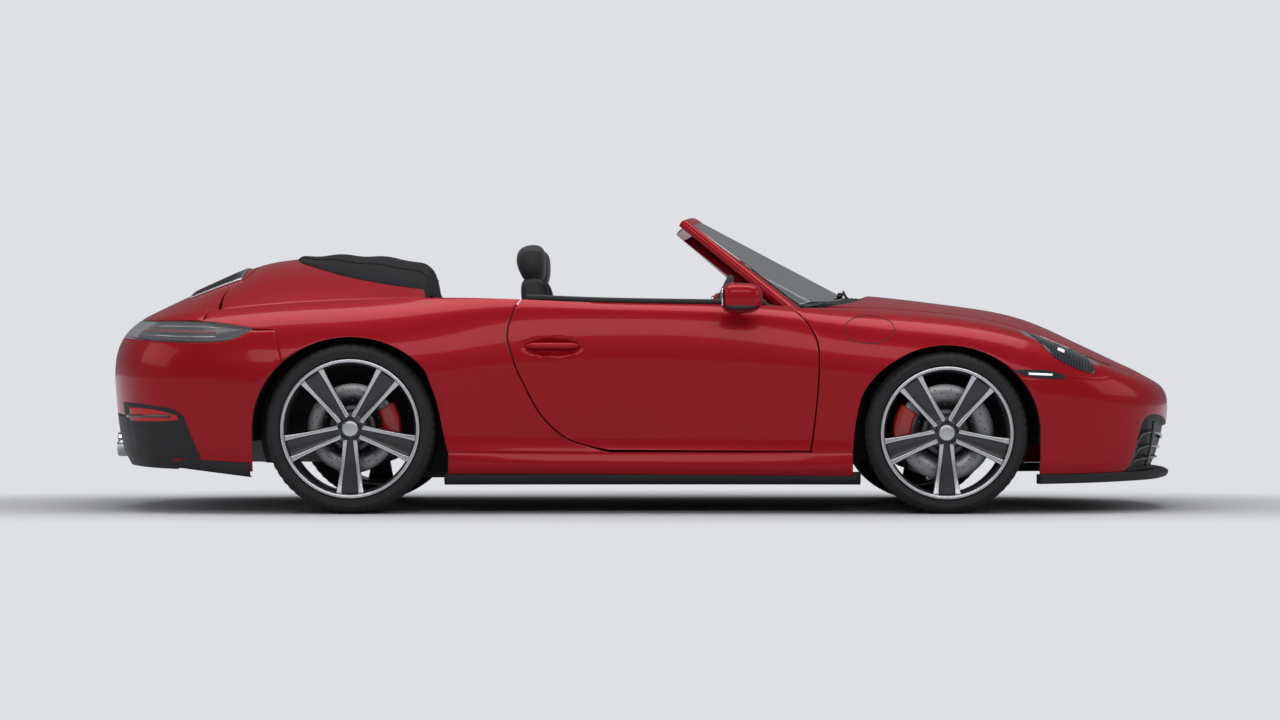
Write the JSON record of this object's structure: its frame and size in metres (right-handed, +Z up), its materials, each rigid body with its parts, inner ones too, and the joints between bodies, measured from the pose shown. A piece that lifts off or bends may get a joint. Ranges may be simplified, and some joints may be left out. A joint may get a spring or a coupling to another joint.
{
  "type": "convertible car",
  "caption": "Low two-door convertible car with its fabric roof folded, wide rear fenders and a rear engine lid.",
  "frame": {"origin": "on the ground, in the middle of the car's length and width", "axes": "+X forward along the car, +Y to its left, +Z up"},
  "size_m": [4.5353, 2.056, 1.2492],
  "materials": {
    "paint": "glossy",
    "structure": "satin",
    "cast_metal": "rough cast",
    "black_plastic": "grained",
    "gloss_black": "glossy",
    "lamp_glass": "clear",
    "screen_glass": "clear",
    "trim": "fine grain",
    "soft_top": "woven",
    "caliper_paint": "glossy",
    "rim": "machined and black",
    "tyre": "matte",
    "disc": "ground",
    "pipe": "brushed"
  },
  "bodies": {
    "body": {"floor_pan": "structure", "centre_tunnel": "structure", "side_rails": "structure", "firewall": "structure", "rear_bulkhead": "structure", "luggage_tub": "structure", "engine_block": "cast_metal", "front_axle": "cast_metal", "rear_axle": "cast_metal", "rear_calipers": "caliper_paint", "front_bumper": "paint", "front_splitter": "black_plastic", "front_intakes": "black_plastic", "front_fenders": "paint", "headlamps": "lamp_glass", "sills": "paint", "rear_quarters": "paint", "rear_bumper": "paint", "rear_diffuser": "black_plastic", "tailpipes": "pipe", "tail_lamp": "lamp_glass", "windscreen_frame": "paint", "windscreen": "screen_glass", "cowl": "black_plastic", "dashboard": "trim", "centre_console": "trim", "front_seats": "trim", "rear_seats": "trim", "cabin_trim": "trim", "roof_lid": "paint", "folded_top": "soft_top"},
    "front_lid": {"front_lid": "paint"},
    "engine_lid": {"engine_lid": "paint", "engine_grille": "gloss_black"},
    "door_left": {"door_left": "paint", "door_card_left": "trim", "mirror_left": "paint"},
    "door_right": {"door_right": "paint", "door_card_right": "trim", "mirror_right": "paint"},
    "steering_wheel": {"steering_wheel": "trim"},
    "knuckle_left": {"knuckle_left": "cast_metal", "front_caliper_left": "caliper_paint"},
    "knuckle_right": {"knuckle_right": "cast_metal", "front_caliper_right": "caliper_paint"},
    "front_wheel_left": {"front_wheel_left": "rim", "front_tyre_left": "tyre", "front_disc_left": "disc"},
    "front_wheel_right": {"front_wheel_right": "rim", "front_tyre_right": "tyre", "front_disc_right": "disc"},
    "rear_wheel_left": {"rear_wheel_left": "rim", "rear_tyre_left": "tyre", "rear_disc_left": "disc"},
    "rear_wheel_right": {"rear_wheel_right": "rim", "rear_tyre_right": "tyre", "rear_disc_right": "disc"}
  },
  "joints": [
    {"name": "steer_left", "type": "hinge", "parent": "body", "child": "knuckle_left", "pos_m": [1.2525, 0.7315, 0.333], "axis": [0, 0, 1], "range_deg": [-35, 35]},
    {"name": "steer_right", "type": "hinge", "parent": "body", "child": "knuckle_right", "pos_m": [1.2525, -0.7315, 0.333], "axis": [0, 0, 1], "range_deg": [-35, 35]},
    {"name": "steering_wheel_turn", "type": "hinge", "parent": "body", "child": "steering_wheel", "pos_m": [0.3225, 0.37, 0.835], "axis": [-0.9135, 0, 0.4067], "range_deg": [-490, 490]},
    {"name": "front_left_spin", "type": "hinge", "parent": "knuckle_left", "child": "front_wheel_left", "pos_m": [1.2525, 0.7815, 0.333], "axis": [0, 1, 0], "continuous": true},
    {"name": "front_right_spin", "type": "hinge", "parent": "knuckle_right", "child": "front_wheel_right", "pos_m": [1.2525, -0.7815, 0.333], "axis": [0, 1, 0], "continuous": true},
    {"name": "rear_left_spin", "type": "hinge", "parent": "body", "child": "rear_wheel_left", "pos_m": [-1.1975, 0.7575, 0.35], "axis": [0, 1, 0], "continuous": true},
    {"name": "rear_right_spin", "type": "hinge", "parent": "body", "child": "rear_wheel_right", "pos_m": [-1.1975, -0.7575, 0.35], "axis": [0, 1, 0], "continuous": true},
    {"name": "door_left_swing", "type": "hinge", "parent": "body", "child": "door_left", "pos_m": [0.6575, 0.85, 0.58], "axis": [0, 0, -1], "range_deg": [0, 65]},
    {"name": "door_right_swing", "type": "hinge", "parent": "body", "child": "door_right", "pos_m": [0.6575, -0.85, 0.58], "axis": [0, 0, 1], "range_deg": [0, 65]},
    {"name": "front_lid_lift", "type": "hinge", "parent": "body", "child": "front_lid", "pos_m": [0.7145, 0, 0.78], "axis": [0, -1, 0], "range_deg": [0, 50]},
    {"name": "engine_lid_lift", "type": "hinge", "parent": "body", "child": "engine_lid", "pos_m": [-1.5525, 0, 1], "axis": [0, 1, 0], "range_deg": [0, 45]}
  ],
  "couplings": [
    {"joint": "steer_right", "follows": "steer_left", "ratio": 1},
    {"joint": "steering_wheel_turn", "follows": "steer_left", "ratio": 14}
  ]
}
